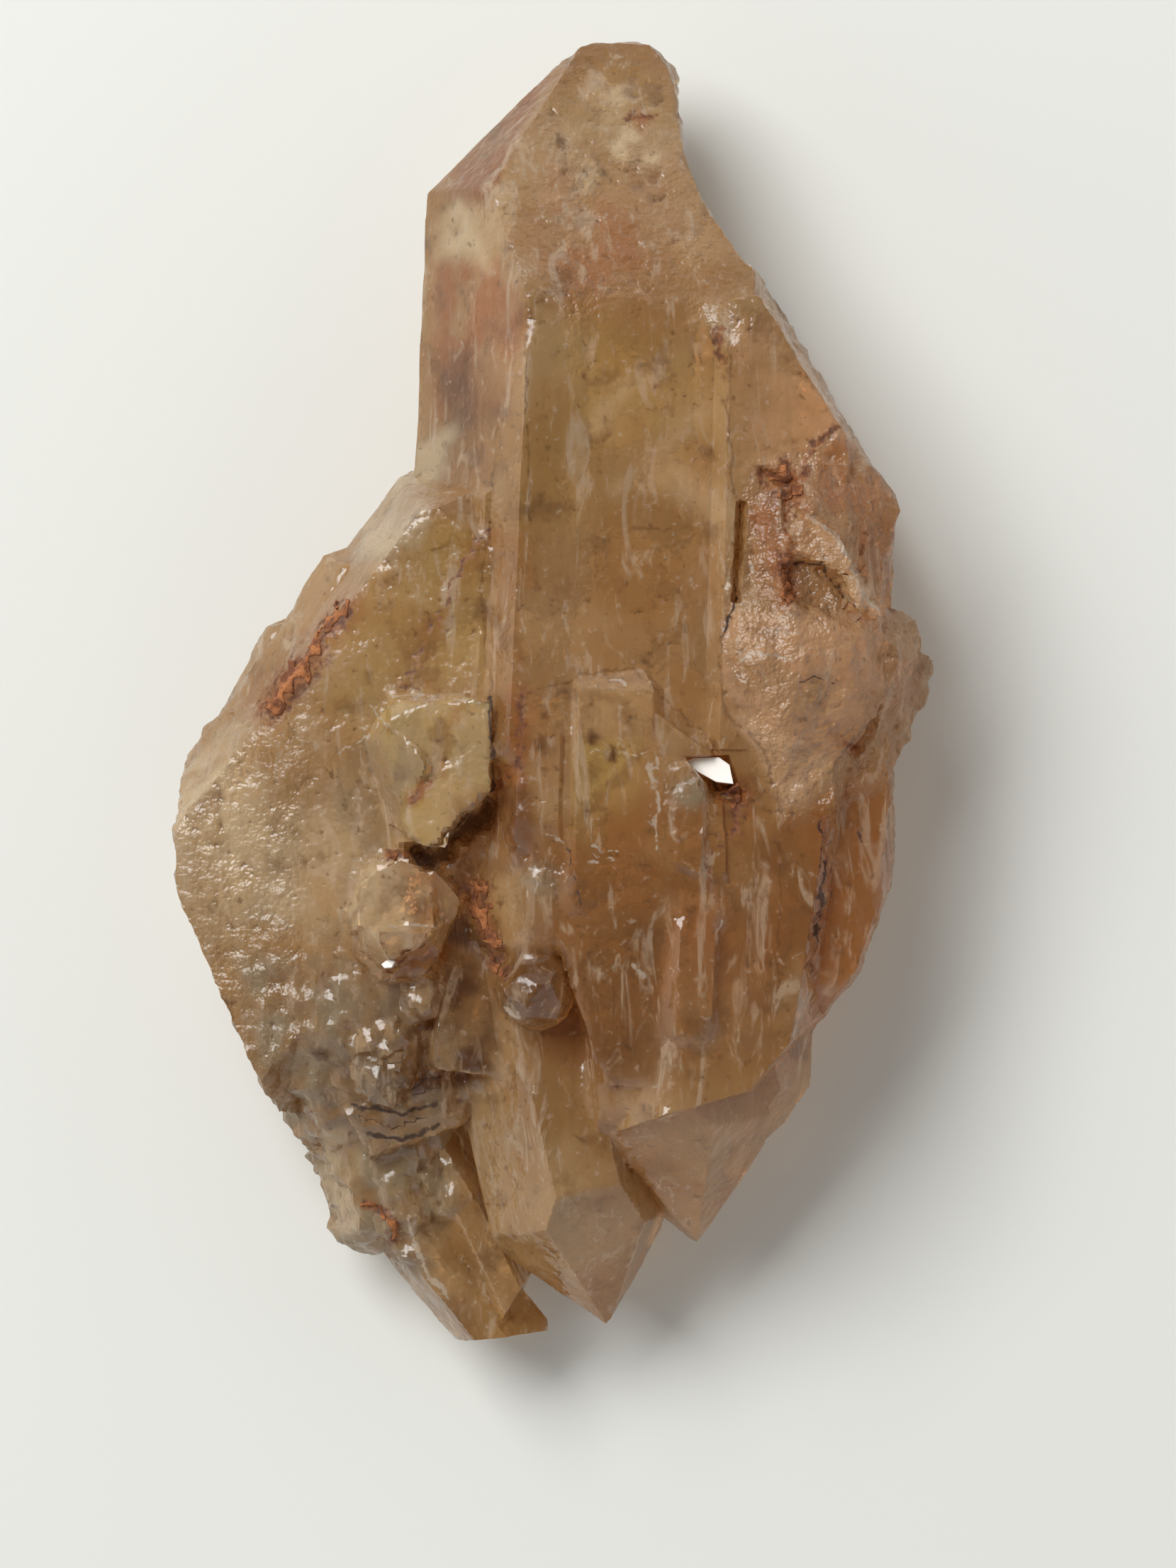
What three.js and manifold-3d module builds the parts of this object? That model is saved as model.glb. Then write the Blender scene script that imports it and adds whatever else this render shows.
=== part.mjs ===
// A natural citrine specimen: pale smoky-yellow quartz crystals grown into one another, with broken ends.
// Millimetres. It lies on its back. +Z is up, out of the face with the best crystals.
// +Y runs to the main point.
import * as THREE from "three";
import { ConvexGeometry } from "three/addons/geometries/ConvexGeometry.js";
import { mergeVertices } from "three/addons/utils/BufferGeometryUtils.js";
import Module from "manifold-3d";

// Driving dimensions of the specimen
const LENGTH = 69.8; // lower stem to the main point: the whole specimen is scaled to it
const REST_HEIGHT = 0.9; // how much is broken off the lowest back edges, which makes the flat it lies on

// Quartz: six prism faces 60 degrees apart, and end faces that lean 38.2 degrees from the long axis
const PRISM_SIDES = 6;
const PRISM_STEP = 60;
const END_FACE_ANGLE = 38.2;

// The angle that spreads points evenly round a disc or a ball
const GOLDEN_ANGLE = 137.5;

const wasm = await Module();
wasm.setup();

const radians = THREE.MathUtils.degToRad;
const point = ([x, y, z]) => new THREE.Vector3(x, y, z);
const join = (solids) => solids.reduce((whole, piece) => whole.add(piece));

// Repeatable values from 0 to 1
function randomFrom(seed) {
  let state = seed;
  return () => {
    state = (state * 16807) % 2147483647;
    return state / 2147483647;
  };
}

// Geometry to solid, with only its positions kept and shared corners merged
function solid(geometry) {
  const bare = geometry.clone();
  bare.deleteAttribute("normal");
  bare.deleteAttribute("uv");
  const merged = mergeVertices(bare, 1e-4);
  return new wasm.Manifold(
    new wasm.Mesh({
      numProp: 3,
      vertProperties: new Float32Array(merged.attributes.position.array),
      triVerts: new Uint32Array(merged.index.array),
    }),
  );
}

// The closed shape inside a set of planes, each {normal, distance}
function insidePlanes(planes) {
  const corners = [];
  const inside = (p) => planes.every(({ normal, distance }) => normal.dot(p) <= distance + 1e-6);
  for (let i = 0; i < planes.length; i++)
    for (let j = i + 1; j < planes.length; j++)
      for (let k = j + 1; k < planes.length; k++) {
        const [a, b, c] = [planes[i], planes[j], planes[k]];
        const bc = b.normal.clone().cross(c.normal);
        const volume = a.normal.dot(bc);
        if (Math.abs(volume) < 1e-6) continue;
        const corner = bc
          .multiplyScalar(a.distance)
          .addScaledVector(c.normal.clone().cross(a.normal), b.distance)
          .addScaledVector(a.normal.clone().cross(b.normal), c.distance)
          .divideScalar(volume);
        if (inside(corner) && !corners.some((q) => q.distanceTo(corner) < 1e-3)) corners.push(corner);
      }
  return new ConvexGeometry(corners);
}

// One value for all six faces, or one for each, from the front face round to the left
const six = (value) => (Array.isArray(value) ? value : Array(PRISM_SIDES).fill(value));

// A quartz crystal.
// at: a point on its axis. lean: the axis's turn from +Y towards +X. dip: its rise towards +Z.
// roll: the front face's turn about the axis. sides: distance of each prism face from the axis.
// tips: where each end face meets the axis, measured from at. base: how far it reaches the other way.
// chips: broken planes, each [point, outward direction].
function crystal({ at, lean = 0, dip = 0, roll = 0, sides, tips, endAngles = END_FACE_ANGLE, base, chips = [] }) {
  const start = point(at);
  const axis = new THREE.Vector3(
    Math.sin(radians(lean)) * Math.cos(radians(dip)),
    Math.cos(radians(lean)) * Math.cos(radians(dip)),
    Math.sin(radians(dip)),
  );
  const front = new THREE.Vector3(0, 0, 1).addScaledVector(axis, -axis.z).normalize();
  const right = axis.clone().cross(front);
  const planes = [];
  const cut = (normal, through) => planes.push({ normal, distance: normal.dot(through) });
  six(sides).forEach((side, k) => {
    const turn = radians(roll + k * PRISM_STEP);
    const outward = front.clone().multiplyScalar(Math.cos(turn)).addScaledVector(right, Math.sin(turn));
    const angle = radians(six(endAngles)[k]);
    const slope = outward.clone().multiplyScalar(Math.cos(angle)).addScaledVector(axis, Math.sin(angle));
    cut(outward, start.clone().addScaledVector(outward, side));
    cut(slope, start.clone().addScaledVector(axis, six(tips)[k]));
  });
  cut(axis.clone().negate(), start.clone().addScaledVector(axis, -base));
  chips.forEach(([through, outward]) => cut(point(outward).normalize(), point(through)));
  return solid(insidePlanes(planes));
}

// A broken piece with flat faces, closed round its corners
const chunk = (corners) => solid(new ConvexGeometry(corners.map(point)));

// A worn, many-faced grain. uneven is how much nearer its nearest faces are than its farthest.
function grain({ at, radii, turn = 0, faces = 22, uneven = 0.14, seed = 1 }) {
  const random = randomFrom(seed * 7919);
  const planes = [];
  for (let i = 0; i < faces; i++) {
    const height = 1 - (2 * (i + 0.5)) / faces;
    const around = radians(i * GOLDEN_ANGLE + 57 * seed);
    const across = Math.sqrt(1 - height * height);
    const normal = new THREE.Vector3(across * Math.cos(around), across * Math.sin(around), height);
    planes.push({ normal, distance: 1 - uneven * random() });
  }
  const geometry = insidePlanes(planes);
  geometry.scale(...radii).rotateZ(radians(-turn)).translate(...at);
  return solid(geometry);
}

// A field of small broken grains, heaped in the middle. fall is how much lower they are at its rim.
function shards({ at, spread, size, count, turn = 0, fall = 0, seed }) {
  const random = randomFrom(seed * 104729);
  const grains = [];
  for (let i = 0; i < count; i++) {
    const reach = Math.sqrt((i + 0.5) / count);
    const around = radians(i * GOLDEN_ANGLE);
    const place = new THREE.Vector3(Math.cos(around), Math.sin(around), 0);
    place.multiply(point([spread[0] * reach, spread[1] * reach, 1]));
    place.applyAxisAngle(new THREE.Vector3(0, 0, 1), radians(-turn)).add(point(at));
    place.z -= fall * reach * reach + 0.6 * size * random();
    const radius = size * (0.7 + 0.5 * random());
    grains.push(
      grain({
        at: place.toArray(),
        radii: [radius, radius * (1 + 0.7 * random()), radius],
        turn: 360 * random(),
        faces: 12,
        uneven: 0.4,
        seed: 1 + Math.floor(1000 * random()),
      }),
    );
  }
  return join(grains);
}

// A smooth ellipsoid, which leaves the shell-like hollow of broken quartz where it is cut away
function scoop({ at, radii, turn = 0, tilt = 0 }) {
  const ball = new THREE.IcosahedronGeometry(1, 3);
  ball.scale(...radii).rotateX(radians(tilt)).rotateZ(radians(-turn)).translate(...at);
  return solid(ball);
}

// A V-shaped groove between two points on a surface, widest at the top
function groove({ from, to, width, depth }) {
  const start = point(from);
  const end = point(to);
  const along = end.clone().sub(start).setZ(0).normalize();
  const across = new THREE.Vector3(along.y, -along.x, 0);
  const corners = [];
  for (const [place, beyond] of [[start, -0.3], [end, 0.3]]) {
    const middle = place.clone().addScaledVector(along, beyond);
    corners.push(middle.clone().addScaledVector(across, width), middle.clone().addScaledVector(across, -width));
    corners.push(middle.clone());
    corners.slice(-3, -1).forEach((corner) => (corner.z += depth));
    corners[corners.length - 1].z -= depth;
  }
  return solid(new ConvexGeometry(corners));
}

// The main point: a broad front face, a long worn end face above it, a clean left end face
// and a broken right side
function mainPoint() {
  const body = crystal({
    at: [1.25, 10.3, 9.0],
    lean: 2.5,
    roll: 9,
    sides: [7.9, 10, 9, 8.2, 7.9, 7.9],
    tips: [25.2, 40, 34, 28, 25.9, 25.9],
    endAngles: [27, 31, 31, 38.2, 38.2, 38.2],
    base: 14,
    chips: [
      [[2.4, 34.75, 9], [0.02, 1, 0.12]],
      [[0.4, 34.0, 9], [-0.5, 0.87, 0.1]],
      [[5.6, 33.7, 9], [0.75, 0.66, 0.1]],
      [[6.2, 32.4, 9], [0.92, 0.393, 0.12]],
    ],
  });
  const step = crystal({
    at: [-2.2, 8, 9.4],
    lean: 2.5,
    roll: 9,
    sides: [6.0, 3, 3, 4, 4.5, 5.35],
    tips: [11, 12, 12, 10, 9, 9],
    base: 10,
  });
  const brokenSide = chunk([
    [6.1, 32.9, -1], [6.6, 28.9, -1], [7.5, 26.3, -1], [10.0, 22.4, -1], [14, 24, -1], [8, 36, -1],
    [6.0, 33.0, 18], [6.3, 28.9, 18], [7.2, 26.2, 18], [9.7, 22.2, 18], [14, 24, 18], [8, 36, 18],
  ]);
  const wear = shards({
    at: [7.5, 27.6, 10.4], spread: [0.3, 3.6], size: 0.7, count: 12, turn: -18, seed: 21,
  });
  return body.subtract(brokenSide).subtract(wear).add(step);
}

// The crystal along the main point's right side, whose left edge stands up as a rib
function ribCrystal() {
  return crystal({
    at: [12.15, 5, 7.0],
    lean: 1.4,
    roll: 8,
    sides: [9.3, 5.8, 3.2, 5.5, 6, 9.0],
    tips: 40,
    base: 8,
    chips: [
      [[9.5, 20.6, 15], [-0.12, 1, 0.14]],
      [[11.5, 20.1, 10], [0.849, 0.528, 0.12]],
    ],
  });
}

// The small damaged crystal low on the rib's right: a smooth left face, two right faces and, between them,
// a ragged ledge, a hollow and a raised strip
function rightCrystal() {
  const body = chunk([
    [14.5, 14.1, 14.6], [13.0, 12.4, 16.2], [10.9, 11.3, 16.4], [9.6, 9.9, 16.4], [9.2, 4.7, 16.4],
    [11.6, 9.6, 17.5], [11.7, 4.7, 17.7], [13.1, 9.4, 17.7], [17.5, 9.6, 14.6], [17.5, 10.5, 13.8],
    [16.1, 12.3, 13.4], [14.8, 7.6, 17.2], [16.2, 4.0, 16.2], [17.0, 4.7, 14.4], [17.8, 9.8, 11.0],
    [17.0, 9.6, 6.5], [16.4, 3.0, 6], [10.2, 9.6, 7], [10, 3, 6], [14.0, 12.4, 7.5],
  ]);
  const hollow = shards({ at: [12.9, 5.7, 18.2], spread: [1.3, 0.8], size: 0.8, count: 9, seed: 12 });
  const ledge = chunk([
    [11.9, 9.2, 17.4], [13.1, 9.0, 17.9], [14.2, 8.2, 17.9], [14.9, 7.3, 17.6], [14.7, 6.6, 17.4],
    [13.5, 6.6, 18.0], [12.2, 6.9, 18.1], [11.8, 7.8, 17.9], [12.6, 8.8, 15], [14.2, 7.0, 15], [12.6, 7.2, 15],
  ]);
  const strip = chunk([
    [13.5, 6.6, 18.1], [15.0, 6.0, 17.7], [16.5, 4.0, 16.2], [16.0, 3.7, 16.5], [14.7, 4.9, 17.6],
    [14.2, 5.9, 18.0], [14.0, 6.2, 15], [16.0, 4.4, 14.5], [14.8, 5.4, 15],
  ]);
  const nicks = shards({ at: [13.1, 6.4, 18.5], spread: [1.6, 0.3], size: 0.5, count: 6, turn: 5, seed: 4 });
  return join([body, ledge, strip]).subtract(hollow).subtract(nicks);
}

// The rough broken slab at the right: a shield-shaped face that ends low in a point, a low ridge across it,
// and two lumps at its outer end
function rightSlab() {
  const shield = chunk([
    [9.0, 5.3, 16.8], [8.3, 1.8, 17.0], [8.6, -1.3, 16.7], [11.4, -6.1, 15.7], [12.7, -5.4, 15.8],
    [14.3, -3.3, 15.9], [15.8, -2.0, 15.4], [17.0, 0.0, 14.6], [16.8, 4.9, 15.2], [12.6, 5.2, 17.4],
    [10.0, 2.0, 17.9], [12.0, 1.6, 18.1], [15.0, 2.3, 17.3], [11.6, -2.2, 17.3],
    [9.5, 3, 4], [17, 2.5, 3.5], [16, -2, 3.5], [11.6, -4.6, 6],
  ]);
  const upperLump = chunk([
    [15.6, 4.2, 15.4], [17.0, 4.6, 13.6], [18.1, 4.4, 12.4], [18.9, 3.8, 11.8], [19.1, 2.6, 12.0],
    [17.6, 2.0, 14.8], [16.4, -2.5, 14.2], [18.0, -3.0, 11.4], [17.2, -4.9, 11.6], [15.2, -3.6, 13.8],
    [17, 3, 4], [17, -3, 4],
  ]);
  const outerLump = chunk([
    [17.7, 1.8, 13.6], [19.1, 2.3, 11.8], [19.6, 1.6, 10.6], [19.5, 0.1, 10.4], [18.7, -1.4, 10.8],
    [17.9, -3.0, 11.2], [17.5, -0.2, 13.4], [18.4, 1.5, 4.5], [18.0, -1.5, 4.5],
  ]);
  const dip = scoop({ at: [9.2, -4.4, 17.6], radii: [1.5, 1.9, 2.4], turn: -30 });
  return join([shield, upperLump, outerLump]).subtract(dip);
}

// The prism that runs down the lower right side, and a lower, narrower one along its outer edge
function lowerRightPrism() {
  const body = crystal({
    at: [11.6, -7, 8.6],
    lean: 189,
    roll: -8,
    sides: [7.5, 8, 5.0, 5.8, 5.4, 4.7],
    tips: 40,
    base: 8,
    chips: [
      [[7.7, -22.0, 8], [0.3, -1, 0.1]],
      [[14.4, -16.4, 9], [0.72, -0.62, 0.1]],
    ],
  });
  const outer = crystal({
    at: [14.9, -7, 9.0],
    lean: 187,
    roll: -14,
    sides: [4.6, 4, 4, 4, 3.0, 3.2],
    tips: 14,
    base: 7,
    chips: [
      [[14.6, -16.2, 9], [0.72, -0.62, 0.1]],
      [[16.7, -12.2, 9], [0.95, -0.3, 0.1]],
      [[17.7, -6.0, 9], [1, 0.02, 0.1]],
    ],
  });
  return body.add(outer);
}

// Clear upright crystals in the middle, side by side and only a little proud of one another.
// Each has its axis's x, its top's y, its front's z, half the width of its front face, its foot's y
// and its roll.
function middleCrystals() {
  const depth = 4.6;
  const capRise = 4.6; // from the visible top of a crystal to where its end face would meet the axis
  const upright = ([x, top, front, half, foot, roll], k) => {
    const side = depth / 2 + half * Math.cos(radians(PRISM_STEP / 2));
    const tip = top - foot - depth + capRise;
    return crystal({
      at: [x, foot + depth, front - depth],
      lean: 1.5,
      roll,
      sides: [depth, side, depth, depth, depth, side],
      tips: [tip, tip - 0.7, tip + 4, tip + 4, tip + 4, tip - 0.4],
      base: depth,
      chips: [[[x, foot + 0.5, front - 0.5], [k % 2 ? 0.2 : -0.25, -0.5, 1]]],
    });
  };
  const group = [
    [-0.6, -0.4, 17.2, 1.1, -8.4, -6],
    [2.5, 1.3, 17.5, 1.9, -11.6, 3],
    [6.3, -2.6, 17.3, 1.5, -10.4, -5],
    [-1.5, -8.7, 16.9, 0.7, -13.4, 12],
    [-0.1, -9.0, 16.9, 0.6, -13.2, -12],
  ].map(upright);
  const between = chunk([
    [-1.8, -1.0, 16.9], [2.2, 0.0, 17.2], [3.6, 0.0, 17.2], [5.6, -1.6, 17.1], [8.2, -3.4, 16.8],
    [8.6, -8.0, 16.9], [8.5, -17.0, 16.2], [6.6, -20.4, 15.6], [2.4, -20.4, 15.8], [0.7, -13.4, 16.6],
    [-1.6, -8.6, 16.6], [2.6, -12.0, 17.2], [-1.4, -1, 9], [8, -3, 9], [7.6, -17, 8], [2.4, -18, 8],
  ]);
  const amber = crystal({
    at: [6.8, -14, 14.9], lean: 3, roll: 9,
    sides: [2.35, 1.9, 2, 3, 2, 2.1], tips: 5.6, base: 4,
  });
  return join([...group, between, amber]);
}

// The left wing: a large crystal that leans to the right and grows into the main point
function leftWing() {
  return crystal({
    at: [-9.5, -2.5, 6.9],
    lean: 38,
    dip: 9,
    roll: -6,
    sides: [7.3, 9.6, 7, 6, 5.45, 7.8],
    tips: 22,
    base: 18,
    chips: [
      [[-20.1, -8.6, 10], [-1, -0.02, -0.08]],
      [[-19.35, -12.0, 10], [-0.9, -0.4, -0.06]],
      [[-17.3, -17.8, 10], [-0.88, -0.47, 0]],
    ],
  });
}

// The wing's thinner outer edge
function wingEdge() {
  return chunk([
    [-20.35, -8.4, 6.4], [-20.2, -6.9, 7.2], [-19.5, -4.7, 7.2], [-18.1, -1.4, 7.6], [-16.7, 1.3, 7.2],
    [-15.2, 3.8, 7.0], [-14.0, 1.0, 12.2], [-16.6, -5.0, 11.6], [-17.6, -9.0, 10.8],
    [-17.8, -9, 2], [-16.5, -3, 1.6], [-13.0, 3.5, 2.4], [-9, -2, 2], [-9, -8, 2],
  ]);
}

// Small crystals that stand beside the wing's upper edge
function wingSideCrystals() {
  return join([
    crystal({
      at: [-8.4, 7.6, 8.6], lean: 34, roll: 6,
      sides: [2.3, 1.9, 2, 2, 1.9, 1.9], tips: 6.2, base: 7,
    }),
    crystal({ at: [-12.2, 4.0, 9.4], lean: 31, roll: 10, sides: 1.9, tips: 5.2, base: 7 }),
    crystal({ at: [-15.0, 0.6, 7.0], lean: 27, roll: -15, sides: 2.0, tips: 5.0, base: 8 }),
  ]);
}

// The crystal whose three pale end faces look out of the wing, with a ragged, undercut lower right edge.
// Its rim runs clockwise from the upper left, and each end face passes through its peak and two more points.
function windowCrystal() {
  const rim = [
    [-9.7, -1.0], [-8.2, 0.1], [-5.3, 0.0], [-3.65, -0.7], [-3.5, -5.0], [-5.85, -7.9], [-7.4, -8.0],
    [-8.3, -7.6], [-11.8, -6.0], [-12.2, -3.7],
  ];
  const rimLevel = 16.5;
  const undercut = Math.tan(radians(14));
  const peak = [-6.4, -3.4, 18.2];
  const endFaces = [
    [peak, [-9.0, -1.5, 15.8], [-3.65, -0.7, 17.3]],
    [peak, [-3.65, -0.7, 17.3], [-5.85, -7.9, 17.0]],
    [peak, [-7.4, -8.0, 15.7], [-9.0, -1.5, 15.8]],
  ];
  const planes = rim.map(([x, y], i) => {
    const [nextX, nextY] = rim[(i + 1) % rim.length];
    const normal = new THREE.Vector3(y - nextY, nextX - x, 0).normalize().setZ(-undercut).normalize();
    return { normal, distance: normal.dot(new THREE.Vector3(x, y, rimLevel)) };
  });
  for (const face of endFaces) {
    const [a, b, c] = face.map(point);
    const normal = b.sub(a).cross(c.sub(a)).normalize();
    if (normal.z < 0) normal.negate();
    planes.push({ normal, distance: normal.dot(a) });
  }
  planes.push({ normal: new THREE.Vector3(0, 0, -1), distance: -8 });
  const body = solid(insidePlanes(planes));
  const nibbles = shards({
    at: [-4.9, -7.3, 16.8], spread: [2.1, 0.2], size: 0.55, count: 7, turn: -38, seed: 31,
  });
  return body.subtract(nibbles);
}

// The broken crystal end under the window crystal: a small face at its right, a ledge and a hollow low down
function stub() {
  const body = chunk([
    [-10.4, -9.8, 14.9], [-8.2, -8.6, 15.2], [-6.5, -9.2, 15.4], [-5.1, -10.8, 14.8], [-6.0, -12.4, 14.8],
    [-6.4, -13.8, 14.2], [-7.4, -15.1, 13.6], [-9.4, -14.9, 13.8], [-10.8, -13.7, 13.8], [-11.2, -11.6, 14.0],
    [-9.4, -10.6, 16.2], [-7.1, -9.9, 16.5], [-6.6, -12.2, 16.2], [-9.4, -12.4, 16.3], [-8.4, -13.8, 15.5],
    [-11, -10, 9], [-6, -10, 9], [-6.4, -14, 9], [-10.4, -14, 9],
  ]);
  const hollow = scoop({ at: [-7.6, -14.5, 16.4], radii: [2.0, 0.9, 1.7], turn: -24 });
  const ledge = chunk([
    [-9.4, -12.3, 16.8], [-6.8, -12.4, 16.7], [-7.2, -13.2, 16.4], [-8.8, -13.8, 16.0], [-9.4, -12.9, 16.5],
    [-8.9, -12.5, 14], [-7.2, -12.6, 14], [-8.4, -13.4, 14],
  ]);
  return body.subtract(hollow).add(ledge);
}

// The flat face at the bottom of the hollow between the stub and the middle crystals
function hollowFloor() {
  return crystal({
    at: [-3.9, -9.6, 8.4], lean: 6, dip: 5, roll: 6,
    sides: [4.8, 4.2, 4, 4, 4, 4.2], tips: 11, base: 10,
  });
}

// The small clear knob low in the middle
function clearKnob() {
  return grain({ at: [-1.25, -15.3, 14.4], radii: [2.1, 2.15, 2.9], faces: 26, uneven: 0.08, seed: 3 });
}

// The broken mass at the lower left: a patch of sparkling grains, a clear flake and three stepped breaks
function lowerLeftMass() {
  const plate = chunk([
    [-20.2, -10.6, 6.0], [-18.95, -13.5, 6.0], [-18.1, -15.5, 5.8], [-17.4, -17.8, 5.6], [-15.7, -21.3, 5.2],
    [-14.0, -24.1, 5.0], [-11.5, -25.5, 6.0], [-7.0, -25.0, 8.4], [-4.2, -21.4, 8.8], [-3.4, -17.2, 9.4],
    [-7.0, -14.2, 13.2], [-10.5, -11.0, 13.4], [-17.6, -11.0, 11.6], [-15.2, -17.8, 12.2], [-11.8, -17.2, 13.1],
    [-12.6, -23.2, 9.8], [-9.0, -19.6, 12.5], [-17.0, -12.5, 1.6], [-13.0, -21.5, 1.0], [-7, -24, 1.0],
    [-4, -18, 1], [-10, -12, 1],
  ]);
  const block = chunk([
    [-13.3, -24.4, 5.0], [-12.9, -26.7, 4.8], [-12.1, -29.4, 4.6], [-11.2, -30.0, 4.8], [-9.4, -30.1, 5.4],
    [-7.2, -27.6, 8.0], [-8.0, -22.5, 9.8], [-11.6, -22.8, 9.4], [-10.8, -28.6, 8.2],
    [-12.4, -25, 1.6], [-11, -28.6, 1.8], [-8, -27.5, 1.6], [-8, -23, 1.4],
  ]);
  const sparkle = shards({
    at: [-9.5, -18.6, 12.9], spread: [1.5, 2.6], size: 0.85, count: 24, turn: -14, fall: 0.6, seed: 11,
  });
  const flake = grain({ at: [-7.3, -15.9, 12.2], radii: [1.3, 1.4, 1.2], faces: 14, seed: 8 });
  const steps = [0, 1, 2].map((k) =>
    crystal({
      at: [-8.9 + 0.4 * k, -20.9 - 0.8 * k, 9.6 - 0.35 * k], lean: 68, roll: 22,
      sides: [1.9, 1.3, 1.5, 2, 1.5, 1.3], tips: 4.6, base: 2.6,
    }),
  );
  return join([plate, block, sparkle, flake, ...steps]);
}

// The rods of the lower stem, pointing down to the right
function stem() {
  return join([
    crystal({
      at: [-8.4, -28.2, 5.4], lean: 141, roll: 10,
      sides: [2.7, 1.8, 2.0, 3.2, 2.4, 2.2], tips: 12, base: 6,
      chips: [[[-5.5, -34.7, 5], [0.1, -1, 0.05]], [[-7.0, -33.4, 5], [-0.7, -0.72, 0]]],
    }),
    crystal({
      at: [-5.9, -27.2, 5.2], lean: 154, roll: -14,
      sides: [3.0, 2.0, 2.2, 3.2, 2.2, 2.1], tips: 11, base: 9,
      chips: [[[-3.7, -34.3, 5], [0.3, -1, 0.1]], [[-2.7, -33.2, 5], [0.9, -0.5, 0.1]]],
    }),
    crystal({ at: [-9.6, -25.0, 7.2], lean: 158, roll: 20, sides: 1.7, tips: 5.4, base: 6 }),
    crystal({ at: [-6.9, -25.0, 6.8], lean: 150, roll: -6, sides: 1.6, tips: 4.6, base: 6 }),
  ]);
}

// Crystals that end between the stem and the lower right prism
function lowerCrystals() {
  return join([
    crystal({
      at: [5.0, -15, 8.4], lean: 172, roll: 14,
      sides: [7.0, 5.4, 4, 5.4, 4, 5.6], tips: [14.8, 14, 15, 16, 14.6, 15], base: 10,
    }),
    crystal({
      at: [-1.0, -19, 7.4], lean: 167, roll: -10,
      sides: [6.2, 4.8, 3.9, 5.0, 3.4, 4.4], tips: [15.2, 15, 15, 16, 15, 15.4], base: 9,
    }),
    crystal({
      at: [9.6, -14, 8.0], lean: 184, roll: -6,
      sides: [6.2, 4.0, 3.4, 5.0, 3.4, 3.8], tips: [11.6, 12, 13, 13, 13, 11.4], base: 9,
    }),
  ]);
}

// The body that the crystals grew from, and the stubs on its back
function back() {
  return join([
    grain({ at: [0.5, -6, 6.6], radii: [15.5, 18, 7.4], faces: 38, uneven: 0.1, seed: 2 }),
    crystal({ at: [-4.0, 6, 4.6], lean: -24, dip: -14, roll: 20, sides: 3.4, tips: 8.5, base: 8 }),
    crystal({ at: [9.5, -3, 4.6], lean: 62, dip: -10, roll: 8, sides: 3.6, tips: 10, base: 9 }),
    crystal({ at: [-6.5, -15, 3.8], lean: 214, dip: -8, sides: 3.2, tips: 9.5, base: 8 }),
  ]);
}

// The dark gap between the main point and the right crystal, and the pit below the slab with its flat floor
function crevices() {
  return join([
    groove({ from: [9.4, 9.6, 16.0], to: [9.1, 5.0, 16.2], width: 0.35, depth: 1.2 }),
    chunk([
      [6.6, -3.4, 15.4], [8.6, -3.4, 14.8], [9.05, -4.65, 14.6], [7.9, -5.0, 14.4],
      [6.2, -3.1, 19], [8.9, -2.9, 19], [9.6, -4.8, 19], [8.2, -5.8, 19],
    ]),
  ]);
}

// Everything below the resting plane
function belowRest() {
  const thickness = 20;
  const slab = new THREE.BoxGeometry(2 * LENGTH, 2 * LENGTH, thickness);
  slab.translate(0, 0, REST_HEIGHT - thickness / 2);
  return solid(slab);
}

const grown = join([
  mainPoint(), ribCrystal(), rightCrystal(), rightSlab(), lowerRightPrism(), middleCrystals(), leftWing(),
  wingEdge(), wingSideCrystals(), windowCrystal(), stub(), hollowFloor(), clearKnob(), lowerLeftMass(),
  stem(), lowerCrystals(), back(),
]);
const specimen = grown.subtract(crevices()).subtract(belowRest());
const { vertProperties, triVerts } = specimen.getMesh();
const geometry = new THREE.BufferGeometry();
geometry.setAttribute("position", new THREE.BufferAttribute(new Float32Array(vertProperties), 3));
geometry.setIndex(new THREE.BufferAttribute(new Uint32Array(triVerts), 1));

// The origin is under the middle of the specimen, on the plane that it lies on
geometry.computeBoundingBox();
const { min, max } = geometry.boundingBox;
geometry.translate(-(min.x + max.x) / 2, -(min.y + max.y) / 2, -min.z);
const scale = LENGTH / (max.y - min.y);
geometry.scale(scale, scale, scale);
geometry.computeVertexNormals();

const quartz = new THREE.MeshStandardMaterial({ color: 0xb89a72, roughness: 0.2, metalness: 0 });
const cluster = new THREE.Mesh(geometry, quartz);
cluster.name = "crystal_cluster";

const part = new THREE.Group();
part.name = "citrine_specimen";
part.add(cluster);

export default part;
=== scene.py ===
import math

import bpy
import numpy as np
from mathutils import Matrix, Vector, noise


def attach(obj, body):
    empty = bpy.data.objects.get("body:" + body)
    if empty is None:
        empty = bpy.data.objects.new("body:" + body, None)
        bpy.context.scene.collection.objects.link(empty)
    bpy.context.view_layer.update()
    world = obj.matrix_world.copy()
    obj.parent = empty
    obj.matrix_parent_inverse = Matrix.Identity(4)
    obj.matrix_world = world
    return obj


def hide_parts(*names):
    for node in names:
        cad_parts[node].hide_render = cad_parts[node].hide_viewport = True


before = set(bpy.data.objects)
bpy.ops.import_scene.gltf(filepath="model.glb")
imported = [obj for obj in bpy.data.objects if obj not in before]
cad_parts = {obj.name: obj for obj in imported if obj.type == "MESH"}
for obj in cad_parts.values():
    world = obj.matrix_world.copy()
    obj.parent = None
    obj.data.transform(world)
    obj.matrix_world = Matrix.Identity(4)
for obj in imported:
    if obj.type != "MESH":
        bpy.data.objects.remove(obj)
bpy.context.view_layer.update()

MM = 0.001

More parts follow.
